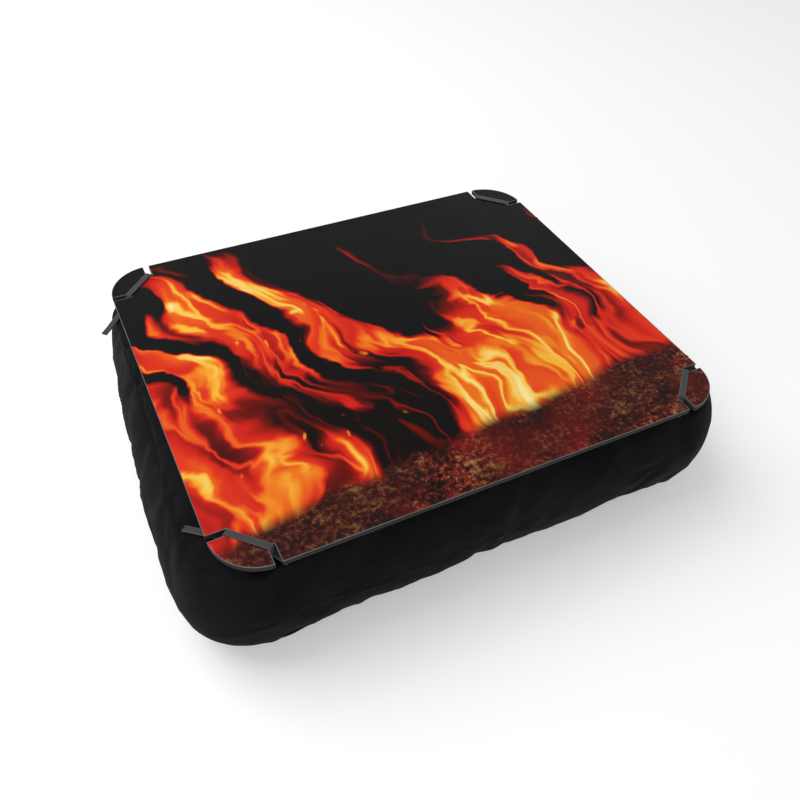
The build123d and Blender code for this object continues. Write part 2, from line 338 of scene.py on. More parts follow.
# %% Define the material maker
class Finish:
    """A material with a Principled shader, and short calls for the nodes that feed it."""

    def __init__(self, name, roughness=0.5, **fixed):
        self.material = bpy.data.materials.new(name)
        self.material.use_nodes = True
        self.tree = self.material.node_tree
        self.tree.nodes.clear()
        self.shader = self.tree.nodes.new("ShaderNodeBsdfPrincipled")
        output = self.tree.nodes.new("ShaderNodeOutputMaterial")
        self.tree.links.new(self.shader.outputs[0], output.inputs["Surface"])
        self.shader.inputs["Roughness"].default_value = roughness
        for socket, value in fixed.items():
            self.shader.inputs[socket.replace("_", " ")].default_value = value

    def put(self, socket, value):
        """Wires an output, or writes a plain value, into a socket."""
        if isinstance(value, bpy.types.NodeSocket):
            self.tree.links.new(value, socket)
        elif isinstance(value, (tuple, list)) and len(value) == 3 and socket.type == "RGBA":
            socket.default_value = (*value, 1)
        else:
            socket.default_value = value

    def node(self, kind, out=0, settings=None, **inputs):
        made = self.tree.nodes.new(kind)
        for key, value in (settings or {}).items():
            setattr(made, key, value)
        for key, value in inputs.items():
            self.put(made.inputs[key.replace("_", " ")], value)
        return made.outputs[out]

    def math(self, operation, first, second=0.0, third=None):
        made = self.tree.nodes.new("ShaderNodeMath")
        made.operation = operation
        self.put(made.inputs[0], first)
        self.put(made.inputs[1], second)
        if third is not None:
            self.put(made.inputs[2], third)
        return made.outputs[0]

    def vector(self, operation, first, second=(0, 0, 0)):
        made = self.tree.nodes.new("ShaderNodeVectorMath")
        made.operation = operation
        self.put(made.inputs[0], first)
        if operation == "SCALE":
            self.put(made.inputs["Scale"], second)
        else:
            self.put(made.inputs[1], second)
        return made.outputs[0]

    def mix(self, share, first, second):
        made = self.tree.nodes.new("ShaderNodeMix")
        made.data_type = "RGBA"
        self.put(made.inputs[0], share)
        self.put(made.inputs[6], first)
        self.put(made.inputs[7], second)
        return made.outputs[2]

    def between(self, value, low, high, to_low=0.0, to_high=1.0):
        """Maps low to high onto to_low to to_high, softly, and stops at the ends."""
        made = self.tree.nodes.new("ShaderNodeMapRange")
        made.interpolation_type = "SMOOTHSTEP"
        for place, amount in zip((0, 1, 2, 3, 4), (value, low, high, to_low, to_high)):
            self.put(made.inputs[place], amount)
        return made.outputs[0]

    def ramp(self, value, stops):
        made = self.tree.nodes.new("ShaderNodeValToRGB")
        elements = made.color_ramp.elements
        while len(elements) < len(stops):
            elements.new(0.5)
        for element, (place, color) in zip(elements, stops):
            element.position = place
            element.color = (*color, 1)
        self.put(made.inputs[0], value)
        return made.outputs[0]

    def noise(self, vector, scale, detail=3.0, out=0, roughness=0.5):
        return self.node("ShaderNodeTexNoise", out, Vector=vector, Scale=scale, Detail=detail,
                         Roughness=roughness)

    def place(self):
        """The point on the object, in metres."""
        return self.node("ShaderNodeTexCoord", out="Object")

    def chart(self):
        """The point on the piece's own flat pattern, in metres."""
        return self.node("ShaderNodeTexCoord", out="UV")

    def split(self, vector):
        made = self.tree.nodes.new("ShaderNodeSeparateXYZ")
        self.put(made.inputs[0], vector)
        return made.outputs

    def join(self, x=0.0, y=0.0, z=0.0):
        made = self.tree.nodes.new("ShaderNodeCombineXYZ")
        for socket, value in zip(made.inputs, (x, y, z)):
            self.put(socket, value)
        return made.outputs[0]

    def color(self, value):
        self.put(self.shader.inputs["Base Color"], value)

    def rough(self, value):
        self.put(self.shader.inputs["Roughness"], value)

    def bump(self, height, depth, strength=1.0):
        """Bump of a real depth in metres, where height runs from 0 to 1."""
        made = self.tree.nodes.new("ShaderNodeBump")
        made.inputs["Strength"].default_value = strength
        made.inputs["Distance"].default_value = depth
        self.put(made.inputs["Height"], height)
        self.tree.links.new(made.outputs[0], self.shader.inputs["Normal"])


def weave_height(finish, across, along, pitch):
    """A plain weave: threads that pass over and under each other, one pitch apart."""
    turn = pi / pitch
    warp = finish.math("SINE", finish.math("MULTIPLY", across, turn))
    weft = finish.math("SINE", finish.math("MULTIPLY", along, turn))
    over = finish.math("MULTIPLY", warp, weft)
    return finish.math("MULTIPLY_ADD", over, 0.5, 0.5)


# %% [markdown]
# ## Black cover cloth
# The cover is a plain black woven polyester with a soft hand. A weave drawn from two sine waves
# on the cloth's own pattern follows every fold, which a weave in space would not. Broad noise
# lifts the black a little where the cloth is rubbed, and finer noise is its lint.

# %% Make the cover cloth
thread_pitch = 0.55 * mm
cover_cloth = Finish("cover_cloth", roughness=0.9, Sheen_Weight=0.012, Sheen_Roughness=0.5,
                     Specular_IOR_Level=0.08)
cover_chart = cover_cloth.split(cover_cloth.chart())
weave = weave_height(cover_cloth, cover_chart[0], cover_chart[1], thread_pitch)
rubbed = cover_cloth.noise(cover_cloth.place(), 14, 4)
lint = cover_cloth.between(cover_cloth.noise(cover_cloth.place(), 1400, 2), 0.66, 0.8)
base_black = cover_cloth.ramp(rubbed, [
    (0.3, (0.0028, 0.0028, 0.0031)),
    (0.75, (0.0058, 0.0058, 0.0064)),
])
with_threads = cover_cloth.mix(cover_cloth.math("MULTIPLY", weave, 0.35), base_black,
                               (0.009, 0.009, 0.0096))
with_lint = cover_cloth.mix(cover_cloth.math("MULTIPLY", lint, 0.5), with_threads,
                            (0.03, 0.03, 0.031))
cover_cloth.color(with_lint)
cover_cloth.rough(cover_cloth.between(rubbed, 0.3, 0.8, 0.92, 0.78))
slub = cover_cloth.noise(cover_cloth.chart(), 420, 3)
cover_cloth.bump(cover_cloth.math("MULTIPLY_ADD", slub, 0.6, weave), 0.16 * mm, 0.7)

# %% [markdown]
# ## Elastic, tape, thread and liner
# The straps are flat braided elastic, whose ribs run along the band. The zip's tape is a
# herringbone. The liner is a pale unbleached cotton, seen only when the cover is off.

# %% Make the narrow fabrics
rib_pitch = 0.7 * mm
elastic = Finish("braided_elastic", roughness=0.7, Sheen_Weight=0.15, Specular_IOR_Level=0.35)
elastic_chart = elastic.split(elastic.chart())
ribs = elastic.math("SINE", elastic.math("MULTIPLY", elastic_chart[1], 2 * pi / rib_pitch))
ribs = elastic.math("MULTIPLY_ADD", ribs, 0.5, 0.5)
picks = weave_height(elastic, elastic_chart[0], elastic_chart[1], rib_pitch)
# The band's two edges are painted lighter, a painted highlight where they catch the light.
painted_edge_highlight = elastic.between(elastic.math("ABSOLUTE", elastic_chart[1]), 1.7 * mm, 2.5 * mm)
elastic_tone = elastic.mix(elastic.math("MULTIPLY", ribs, 0.5),
                           (0.022, 0.022, 0.026), (0.05, 0.05, 0.056))
elastic.color(elastic.mix(elastic.math("MULTIPLY", painted_edge_highlight, 0.6), elastic_tone,
                          (0.10, 0.10, 0.11)))
elastic.bump(elastic.math("MULTIPLY_ADD", picks, 0.4, ribs), 0.12 * mm, 0.8)

tape_cloth = Finish("zip_tape_cloth", roughness=0.8, Sheen_Weight=0.08, Specular_IOR_Level=0.3)
tape_place = tape_cloth.split(tape_cloth.place())
herring_width = 1.6 * mm
herring_pitch = 0.8 * mm
zigzag = tape_cloth.math("PINGPONG", tape_place[0], herring_width)
herring = tape_cloth.math("ADD", tape_place[2], zigzag)
herring = tape_cloth.math("SINE", tape_cloth.math("MULTIPLY", herring, 2 * pi / herring_pitch))
herring = tape_cloth.math("MULTIPLY_ADD", herring, 0.5, 0.5)
tape_cloth.color(tape_cloth.mix(herring, (0.005, 0.005, 0.006), (0.013, 0.013, 0.014)))
tape_cloth.bump(herring, 0.1 * mm, 0.8)

thread = Finish("sewing_thread", roughness=0.6, Sheen_Weight=0.1)
twist = thread.node("ShaderNodeTexWave", settings={"bands_direction": "DIAGONAL"},
                    Vector=thread.place(), Scale=900.0, Distortion=0.5)
thread.color(thread.mix(twist, (0.016, 0.016, 0.018), (0.05, 0.05, 0.054)))

liner_cloth = Finish("liner_cotton", roughness=0.9, Sheen_Weight=0.1)
liner_place = liner_cloth.split(liner_cloth.place())
liner_weave = weave_height(liner_cloth, liner_cloth.math("ADD", liner_place[0], liner_place[1]),
                           liner_cloth.math("ADD", liner_place[2], liner_place[1]), 0.8 * mm)
liner_cloth.color(liner_cloth.mix(liner_weave, (0.52, 0.5, 0.46), (0.72, 0.7, 0.65)))
liner_cloth.bump(liner_weave, 0.15 * mm, 0.6)

beads = Finish("foam_beads", roughness=0.75, Subsurface_Weight=0.1)
bead_cells = beads.node("ShaderNodeTexVoronoi", out="Distance", Vector=beads.place(), Scale=320.0)
# The cells are painted darker towards their edges, painted shade in the crevices between the beads.
beads.color(beads.mix(beads.between(bead_cells, 0.2, 0.7), (0.93, 0.93, 0.91), (0.7, 0.7, 0.69)))
beads.bump(beads.math("SUBTRACT", 1.0, bead_cells), 1.2 * mm, 1.0)
fabrics = (cover_cloth, elastic, tape_cloth, thread, liner_cloth, beads)
print("fabrics made:", [fabric.material.name for fabric in fabrics])

# %% [markdown]
# ## Zip plastic and painted metal
# Moulded teeth are satin acetal with a slight grain. The slider, its pull and the stops are
# metal under a black paint that use has rubbed through in small spots. A spot shows where a broad
# noise and a noise stretched into scratches are both strong.

# %% Make the zip's hard finishes
zip_plastic = Finish("zip_tooth_plastic", roughness=0.38, Specular_IOR_Level=0.5)
grain = zip_plastic.noise(zip_plastic.place(), 900, 3)
zip_plastic.color(zip_plastic.mix(grain, (0.008, 0.008, 0.009), (0.02, 0.02, 0.022)))
zip_plastic.bump(grain, 0.05 * mm, 0.5)

zip_metal = Finish("zip_painted_metal", roughness=0.35, Metallic=0.6, Coat_Weight=0.1)
scuffs = zip_metal.noise(zip_metal.place(), 420, 5, roughness=0.65)
scratch_spot = zip_metal.vector("MULTIPLY", zip_metal.place(), (250, 1600, 1600))
scratches = zip_metal.noise(scratch_spot, 1.0, 2)
worn = zip_metal.math("MULTIPLY", zip_metal.between(scuffs, 0.55, 0.72),
                      zip_metal.between(scratches, 0.45, 0.7))
zip_metal.color(zip_metal.mix(worn, (0.02, 0.02, 0.022), (0.32, 0.32, 0.33)))
zip_metal.rough(zip_metal.between(scuffs, 0.4, 0.7, 0.32, 0.5))
zip_metal.bump(scuffs, 0.04 * mm, 0.6)

# %% [markdown]
# ## Fibreboard and the plain sheet under it
# The board's cut edge is dark stained fibreboard: short fibres pressed flat, so the noise is
# squeezed in height. The sheet under it is a plain black backing with a fine texture.

# %% Make the board's edge and backing
board_core = Finish("fibreboard", roughness=0.8, Specular_IOR_Level=0.3)
fibre_spot = board_core.vector("MULTIPLY", board_core.place(), (220, 220, 1500))
fibres = board_core.noise(fibre_spot, 1.0, 5)
flecks = board_core.between(board_core.noise(board_core.place(), 1100, 2), 0.62, 0.75)
fibre_tone = board_core.ramp(fibres, [(0.3, (0.010, 0.009, 0.008)), (0.7, (0.032, 0.026, 0.021))])
board_core.color(board_core.mix(board_core.math("MULTIPLY", flecks, 0.4), fibre_tone,
                                (0.09, 0.07, 0.05)))
board_core.bump(fibres, 0.12 * mm, 0.8)

backing_sheet = Finish("backing_sheet", roughness=0.6, Specular_IOR_Level=0.4)
orange_peel = backing_sheet.noise(backing_sheet.place(), 1500, 2)
backing_sheet.color(backing_sheet.mix(orange_peel, (0.008, 0.008, 0.009), (0.014, 0.014, 0.015)))
backing_sheet.bump(orange_peel, 0.06 * mm, 0.5)

# %% [markdown]
# ## The printed sheet
# The print is an abstract of fire on black, with a speckled rusty band along the front. It is
# drawn with nodes only. The fire's heat is a broad noise stretched along the flames, with bright
# veins and a little ridged noise in it and dark hollows between. Its coordinates are first pushed
# about by other noise, so that the tongues lick and curl, and a height that differs along the
# board decides where each tongue ends. A colour ramp turns heat into black, red, orange, yellow
# and pale yellow. The film over it has a satin shine with a few fine scratches.

# %% Draw the fire
print_sheet = Finish("printed_sheet", roughness=0.4, Specular_IOR_Level=0.06)


def pushed(place, scale, reach):
    """The place, pushed about by a noise of that scale, by up to half the reach in metres."""
    push = print_sheet.noise(place, scale, 3, out="Color")
    push = print_sheet.vector("SUBTRACT", push, (0.5, 0.5, 0.5))
    return print_sheet.vector("ADD", place, print_sheet.vector("SCALE", push, reach))


spot = print_sheet.place()
curled = pushed(pushed(spot, 5.5, 0.16), 19, 0.035)
curl = print_sheet.split(curled)

lean = 0.45
across_flow = print_sheet.math("MULTIPLY_ADD", curl[1], lean, curl[0])
streak_spot = print_sheet.join(across_flow, print_sheet.math("MULTIPLY", curl[1], 0.33))
streaks = print_sheet.node("ShaderNodeTexNoise", settings={"noise_type": "RIDGED_MULTIFRACTAL"},
                           Vector=streak_spot, Scale=26.0, Detail=3.0, Roughness=0.45,
                           Offset=0.85, Gain=1.6, Distortion=0.3)
broad = print_sheet.noise(streak_spot, 15, 2)

tongue_spot = print_sheet.join(across_flow, print_sheet.math("MULTIPLY", curl[1], 0.12))
tongues = print_sheet.noise(tongue_spot, 21, 2)
tongue_tip = print_sheet.between(tongues, 0.36, 0.64, -0.03, 0.17)
below_tip = print_sheet.math("SUBTRACT", tongue_tip, curl[1])
flame = print_sheet.between(below_tip, -0.006, 0.06)
veins = print_sheet.math("SUBTRACT", print_sheet.noise(streak_spot, 34, 2), 0.5)
veins = print_sheet.between(print_sheet.math("ABSOLUTE", veins), 0.075, 0.0)
hollows = print_sheet.between(print_sheet.noise(streak_spot, 11, 2), 0.40, 0.50)
heat = print_sheet.math("MULTIPLY_ADD", print_sheet.between(broad, 0.36, 0.64), 0.44, 0.08)
heat = print_sheet.math("MULTIPLY_ADD", print_sheet.between(streaks, 0.5, 1.5), 0.16, heat)
heat = print_sheet.math("MULTIPLY_ADD", veins, 0.28, heat)
heat = print_sheet.math("MULTIPLY", heat, print_sheet.math("MULTIPLY_ADD", hollows, 0.8, 0.2))
heat = print_sheet.math("MULTIPLY", heat, flame)
fire_stops = [
    (0.0, (0.001, 0.001, 0.001)),
    (0.10, (0.004, 0.001, 0.001)),
    (0.20, (0.16, 0.006, 0.003)),
    (0.32, (0.62, 0.016, 0.010)),
    (0.46, (0.78, 0.045, 0.012)),
    (0.60, (0.90, 0.20, 0.014)),
    (0.74, (0.98, 0.52, 0.05)),
    (0.90, (1.0, 0.84, 0.34)),
]
fire = print_sheet.ramp(heat, fire_stops)

# %% [markdown]
# Sparks are round dots in the cells of a Voronoi pattern. Only a few cells have one, chosen by
# the cell's own random colour, and they are let through only near the tongues.

# %% Add sparks above the fire
spark_spot = print_sheet.vector("MULTIPLY", curled, (1.0, 0.55, 1.0))
spark_cells, spark_color = (
    print_sheet.node("ShaderNodeTexVoronoi", out=out, Vector=spark_spot, Scale=60.0)
    for out in ("Distance", "Color"))
spark = print_sheet.between(spark_cells, 0.16, 0.05)
chosen = print_sheet.between(print_sheet.split(spark_color)[0], 0.74, 0.86)
spark = print_sheet.math("MULTIPLY", spark, chosen)
near_fire = print_sheet.between(below_tip, -0.12, -0.015)
spark = print_sheet.math("MULTIPLY", spark, near_fire)
fire = print_sheet.mix(spark, fire, (0.95, 0.26, 0.02))

# %% [markdown]
# The band along the front is a scatter of rust, ochre, brick red and grey flecks over a dark
# ground. Two scales of noise pick the flecks, and a wavering line ends the band.

# %% Add the rusty band along the front
flat_spot = print_sheet.split(spot)
band_line = print_sheet.math("MULTIPLY_ADD", flat_spot[0], 0.12, -0.132)
band_line = print_sheet.math("MULTIPLY_ADD", print_sheet.noise(spot, 12, 3), 0.03, band_line)
in_band = print_sheet.between(print_sheet.math("SUBTRACT", band_line, flat_spot[1]), 0.0, 0.014)
coarse = print_sheet.noise(spot, 42, 6, roughness=0.72)
fine = print_sheet.noise(spot, 260, 4, roughness=0.7)
grit = print_sheet.math("MULTIPLY_ADD", fine, 0.55, print_sheet.math("MULTIPLY", coarse, 0.45))
rust = print_sheet.ramp(grit, [
    (0.42, (0.003, 0.002, 0.002)),
    (0.48, (0.04, 0.008, 0.006)),
    (0.52, (0.16, 0.014, 0.010)),
    (0.56, (0.24, 0.07, 0.03)),
    (0.61, (0.36, 0.20, 0.05)),
    (0.68, (0.34, 0.30, 0.25)),
])
red_patches = print_sheet.between(print_sheet.noise(spot, 16, 3), 0.46, 0.62)
dark_patches = print_sheet.between(print_sheet.noise(spot, 10, 3), 0.44, 0.56)
rust = print_sheet.mix(print_sheet.math("MULTIPLY", red_patches, 0.5), rust, (0.26, 0.012, 0.010))
rust = print_sheet.mix(print_sheet.math("MULTIPLY", dark_patches, 0.6), rust, (0.008, 0.005, 0.004))
picture = print_sheet.mix(in_band, fire, rust)

# %% [markdown]
# The sheet's cut edge and its broken rim are painted a paler grey than the print, a painted highlight of the edge
# catching the light. The normal's height tells the flat top from the rim.

# %% Finish the sheet's film and rim
facing = print_sheet.split(print_sheet.node("ShaderNodeNewGeometry", out="Normal"))[2]
rim = print_sheet.between(facing, 0.95, 0.8)
# The pale grey on the rim is a painted highlight.
print_sheet.color(print_sheet.mix(rim, picture, (0.16, 0.16, 0.165)))
film_scratch = print_sheet.noise(print_sheet.vector("MULTIPLY", spot, (30, 700, 1)), 1.0, 2)
smears = print_sheet.noise(spot, 9, 4)
print_sheet.rough(print_sheet.math("ADD", print_sheet.between(smears, 0.3, 0.7, 0.36, 0.46),
                                   print_sheet.between(film_scratch, 0.7, 0.8, 0.0, 0.12)))
print_sheet.bump(print_sheet.noise(spot, 500, 2), 0.02 * mm, 0.3)

# %% [markdown]
# The board, its two sheets and the zip keep their solids. Their edges, gaps and clearances are
# real already, so all that they need is a finish.

# %% Give the kept solids their finishes
kept_finishes = {
    "tray_board": board_core,
    "top_laminate": print_sheet,
    "backing_laminate": backing_sheet,
    "zip_tape_upper": tape_cloth,
    "zip_tape_lower": tape_cloth,
    "zip_teeth_upper": zip_plastic,
    "zip_teeth_lower": zip_plastic,
    "zip_top_stops": zip_metal,
    "zip_bottom_stop": zip_metal,
    "zip_slider": zip_metal,
    "zip_pull": zip_metal,
}
for node_name, finish in kept_finishes.items():
    nodes[node_name].data.materials.clear()
    nodes[node_name].data.materials.append(finish.material)
print("finishes given to", len(kept_finishes), "solids")

# %% [markdown]
# ## The cushion's form
# A box cushion is a top and a bottom panel joined by a wall. Its plan is a rounded rectangle
# whose sides draw in between the corners at the seams and swell out between the seams. Rings of
# points at many heights, joined ring to ring, give a mesh whose rows follow the seams, which a
# remeshed block would not. The same rings, set inwards, make the liner and the beads.


# %% Lay out one ring of the cushion
def ring_points(half_x, half_y, radius, bow, counts):
    """A ring in plan, from the back right corner round to the left, as an array of x and y."""
    along_side, along_end, in_corner = counts
    points = []
    quarter = pi / 2
    corners = [(1, 1, 0), (-1, 1, 1), (-1, -1, 2), (1, -1, 3)]
    for side_x, side_y, turn in corners:
        middle = (side_x * (half_x - radius), side_y * (half_y - radius))
        for step in range(in_corner):
            angle = quarter * (turn + step / in_corner)
            points.append((middle[0] + radius * cos(angle), middle[1] + radius * sin(angle)))
        straight = along_end if turn in (0, 2) else along_side
        for step in range(straight):
            share = step / straight
            lift = 1 - (2 * share - 1) ** 2
            if turn == 0:
                points.append(((half_x - radius) * (1 - 2 * share), half_y))
            elif turn == 1:
                points.append((-half_x - bow * lift, (half_y - radius) * (1 - 2 * share)))
            elif turn == 2:
                points.append(((half_x - radius) * (2 * share - 1), -half_y - bow * lift))
            else:
                points.append((half_x + bow * lift, (half_y - radius) * (2 * share - 1)))
    return np.array(points)


corner_radius = 44 * mm
draw_in = 4 * mm
side_swell = 3 * mm


def cushion_ring(height, inset, puff, counts, room=0.0):
    """One ring of the cushion. Inset moves it inwards and puff, from 0 to 1, is the wall's swell."""
    out = puff * swell - inset
    plan = ring_points(
        seam_half.x + out, seam_half.y + out - room / 2,
        max(corner_radius - max(inset, 0) * 0.75, 6 * mm),
        puff * (side_swell + draw_in) - draw_in * (1 - 0.8 * min(inset / (50 * mm), 1)), counts)
    return np.column_stack([plan[:, 0], plan[:, 1] + centre_y - room / 2,
                            np.full(len(plan), height)])


# %% [markdown]
# The rings are set out from a short list of heights. Near a seam they come closer together, so
# that the seam can be a sharp little groove. Above the top seam the crown rises steeply and then
# flattens under the board, and the base does the same the other way up.

# %% List the rings from the middle of the base to the middle of the crown
flat_steps = (90, 70, 54, 43)
base_insets = (34, 28, 22, 17, 12.5, 8.5, 5.5, 3, 1.3, 0.4)
wall_heights = (0, 1.2, 3, 6, 10, 15, 20, 25, 30)
crown_insets = (0.4, 1.3, 3, 5.5, 8.5, 12.5, 17, 22, 28, 35, 42, 50)
slot_profile = (
    (-7.0, 0.0), (-6.2, 0.05), (-5.6, 0.3), (-5.25, 0.8), (-5.2, 1.5), (-5.6, 4.2),
    (-2.0, 4.2), (2.0, 4.2),
    (5.6, 4.2), (5.2, 1.5), (5.25, 0.8), (5.6, 0.3), (6.2, 0.05), (7.0, 0.0))
slot_reach = 7 * mm
wall_first_ring = len(flat_steps) + len(base_insets)
wall_last_ring = wall_first_ring + 2 * len(wall_heights) + len(slot_profile) - 1
wall_height = top_seam - bottom_seam


def wall_puff(height):
    """How far the wall has swelled at a height, from 0 at a seam to 1 half way up."""
    share = (height - bottom_seam) / wall_height
    return max(0.0, 1 - abs(2 * share - 1) ** 2.2)


def ring_list(inset=0.0):
    """Height, inset, puff and slot entry of each ring, from the base up."""
    rings = []
    low = base_low.z + inset
    high = crown_top - inset
    for step in flat_steps:
        rings.append((low, step * mm, 0, None))
    for step in base_insets:
        share = min((step * mm / (30 * mm)) ** 0.42, 1)
        rings.append((low + (bottom_seam - low) * (1 - share), step * mm, 0, None))
    for step in wall_heights:
        height = bottom_seam + step * mm
        rings.append((height, 0, wall_puff(height), None))
    for entry, (rise, depth) in enumerate(slot_profile):
        height = zip_height + (2 * entry / (len(slot_profile) - 1) - 1) * slot_reach
        rings.append((height, 0, wall_puff(height), (rise * mm, depth * mm)))
    for step in reversed(wall_heights):
        height = top_seam - step * mm
        rings.append((height, 0, wall_puff(height), None))
    for step in crown_insets:
        share = (step / 50) ** 0.57
        rings.append((top_seam + (high - top_seam) * share, step * mm, 0, None))
    for step in reversed(flat_steps[:-1]):
        rings.append((high, step * mm, 0, None))
    return rings


# %% [markdown]
# In the back wall the rings between the two halves of the wall turn inwards over the slot's lips
# and run along its floor, behind the zip's tape, so that the real teeth and slider show in it.

# %% Build the cover as a mesh with its own flat pattern
slot_half = 137 * mm
slot_ramp = 3 * mm
ring_counts = (48, 66, 14)


def build_cushion(name, counts, inset=0.0, room=0.0, with_slot=True):
    """The cushion's mesh, open at its flat ends, with its flat pattern in metres as a UV map."""
    rings = ring_list(inset)
    count = 2 * counts[0] + 2 * counts[1] + 4 * counts[2]
    layers = []
    for height, plan_inset, puff, slot in rings:
        ring = cushion_ring(height, plan_inset + inset, puff, counts, room)
        if slot and with_slot:
            back = ring[:, 1] > centre_y + seam_half.y
            share = np.clip((slot_half + slot_ramp - np.abs(ring[:, 0])) / slot_ramp, 0, 1) * back
            surface = centre_y + seam_half.y + swell
            ring[:, 1] += share * (surface - slot[1] - ring[:, 1])
            ring[:, 2] += share * (zip_height + slot[0] - ring[:, 2])
        layers.append(ring)
    points = np.concatenate(layers)
    faces = []
    for level in range(len(rings) - 1):
        for column in range(count):
            after = (column + 1) % count
            faces.append((level * count + column, level * count + after,
                          (level + 1) * count + after, (level + 1) * count + column))
    mesh = bpy.data.meshes.new(name)
    mesh.from_pydata(points.tolist(), [], faces)

    seam_ring = layers[wall_first_ring]
    steps = np.linalg.norm(np.roll(seam_ring, -1, axis=0) - seam_ring, axis=1)
    round_lengths = np.concatenate([[0], np.cumsum(steps)])
    chart = mesh.uv_layers.new(name="flat_pattern")
    for polygon in mesh.polygons:
        levels = [vertex // count for vertex in polygon.vertices]
        columns = [vertex % count for vertex in polygon.vertices]
        on_wall = wall_first_ring <= min(levels) and max(levels) <= wall_last_ring
        wraps = max(columns) - min(columns) > 1
        for loop, vertex, column in zip(polygon.loop_indices, polygon.vertices, columns):
            x, y, z = points[vertex]
            end = column if not (wraps and column == 0) else count
            chart.data[loop].uv = (round_lengths[end], z) if on_wall else (x, y)
    mesh.update()
    return add_object(name, mesh), len(rings), count


def close_ends(obj):
    """Fills the flat opening in the middle of the base and of the crown with one face each."""
    work = bmesh.new()
    work.from_mesh(obj.data)
    rims = [edge for edge in work.edges if edge.is_boundary]
    filled = bmesh.ops.holes_fill(work, edges=rims, sides=0)["faces"]
    chart = work.loops.layers.uv["flat_pattern"]
    for face in filled:
        face.normal_update()
        if (face.normal.z > 0) != (face.calc_center_median().z > 0.05):
            face.normal_flip()
        for loop in face.loops:
            loop[chart].uv = loop.vert.co.xy
    work.to_mesh(obj.data)
    work.free()


def open_ends(obj):
    """Takes the two filling faces out again, because a subdivision is slow round so many corners."""
    work = bmesh.new()
    work.from_mesh(obj.data)
    big = [face for face in work.faces if len(face.verts) > 4]
    bmesh.ops.delete(work, geom=big, context="FACES_ONLY")
    work.to_mesh(obj.data)
    work.free()


cushion, ring_total, column_total = build_cushion("cushion_cover", ring_counts)
close_ends(cushion)
print(f"cushion has {ring_total} rings of {column_total} points")

# %% [markdown]
# ## Blowing the cushion up
# The cover is a little too big for its filling, which is what makes real cloth crease. Blender's
# Cloth blows the mesh up with a light pressure and no gravity while the cloth grows by a few
# percent. The panel under the board, the base and the wall round the zip are pinned. A point may
# move only a few millimetres, so the cushion keeps the size of its solid.

# %% Blow it up with the Cloth simulation
farthest_move = 5 * mm
cloth_steps = 20
seam_hold = 0.35
held_beside, beside_fade = 22 * mm, 14 * mm
held_above, above_fade = 24 * mm, 10 * mm


def pin_weights(count, levels, rest):
    """1 where the cloth is held, 0 where it is free, for every point."""
    weights = np.zeros((levels, count))
    weights[:len(flat_steps)] = 1
    weights[-len(flat_steps):] = 1
    for seam in (wall_first_ring, wall_last_ring):
        weights[seam] = seam_hold
    place = rest.reshape(levels, count, 3)
    on_back = place[:, :, 1] > centre_y + seam_half.y - 1 * mm
    beside = np.clip((slot_half + held_beside - np.abs(place[:, :, 0])) / beside_fade, 0, 1)
    near = np.clip((held_above - np.abs(place[:, :, 2] - zip_height)) / above_fade, 0, 1)
    return np.maximum(weights, np.clip(beside * near, 0, 1) * on_back).ravel()


def read_points(mesh, what="co"):
    """The points of a mesh, or its normals, as rows of an array."""
    flat = np.zeros(len(mesh.vertices) * 3)
    mesh.vertices.foreach_get(what, flat)
    return flat.reshape(-1, 3)


def write_points(mesh, points):
    mesh.vertices.foreach_set("co", points.astype(np.float32).ravel())
    mesh.update()


rest_points = read_points(cushion.data)
held = pin_weights(column_total, ring_total, rest_points)
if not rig.quick():
    group = cushion.vertex_groups.new(name="held")
    for index in np.nonzero(held > 0)[0]:
        group.add([int(index)], float(held[index]), "REPLACE")
    cloth = cushion.modifiers.new("blow_up", "CLOTH")
    cloth.settings.quality = 6
    cloth.settings.mass = 0.2
    cloth.settings.tension_stiffness = 18
    cloth.settings.compression_stiffness = 18
    cloth.settings.shear_stiffness = 6
    cloth.settings.bending_stiffness = 0.08
    cloth.settings.use_pressure = True
    cloth.settings.uniform_pressure_force = 4
    cloth.settings.shrink_min = -0.022
    cloth.settings.vertex_group_mass = "held"
    cloth.settings.effector_weights.gravity = 0
    cloth.collision_settings.use_collision = False
    for frame_number in range(1, cloth_steps + 1):
        scene.frame_set(frame_number)
    blown = cushion.evaluated_get(bpy.context.evaluated_depsgraph_get())
    moved = read_points(blown.data) - rest_points
    cushion.modifiers.remove(cloth)
    cushion.vertex_groups.clear()
    scene.frame_set(1)
    reach = np.linalg.norm(moved, axis=1)
    print(f"cloth moved up to {reach.max() / mm:.1f} mm, {reach.mean() / mm:.1f} mm on average")
    moved *= (np.minimum(reach, farthest_move) / np.maximum(reach, 1e-9))[:, None]
    moved *= (1 - held)[:, None]
    write_points(cushion.data, rest_points + moved)

# %% [markdown]
# ## The photograph's stance
# In the photograph the cushion doesn't sit quite square under the board: it bulges past the
# board's left edge towards the front, and is drawn in at the back left corner. The bottom edge
# runs in slow waves. These are smooth pushes added after the simulation, which leave the wall
# round the zip alone.

# %% Lean, drawn corner and wavy hem
lean_at = (-0.18, -0.155, -0.12, -0.07, -0.02, 0.03, 0.08, 0.115, 0.145, 0.175)
lean_by = (5, 7.5, 8.5, 8, 4.5, 1, -3, -7, -11, -14)
lean_from, lean_fade = 0.12, 0.075
hem_half_x, hem_half_y, hem_top = 0.209, 0.165, 0.03
hem_wave = 3.2
hem_end_y = 0.14
floor_gap = 0.0002


def slow_noise(points, across, up, shift=0.0):
    """A smooth noise from -1 to 1 at each point, with that many waves a metre across and up."""
    return np.array([noise.noise(Vector((a * across, b * across, c * up + shift)))
                     for a, b, c in points])


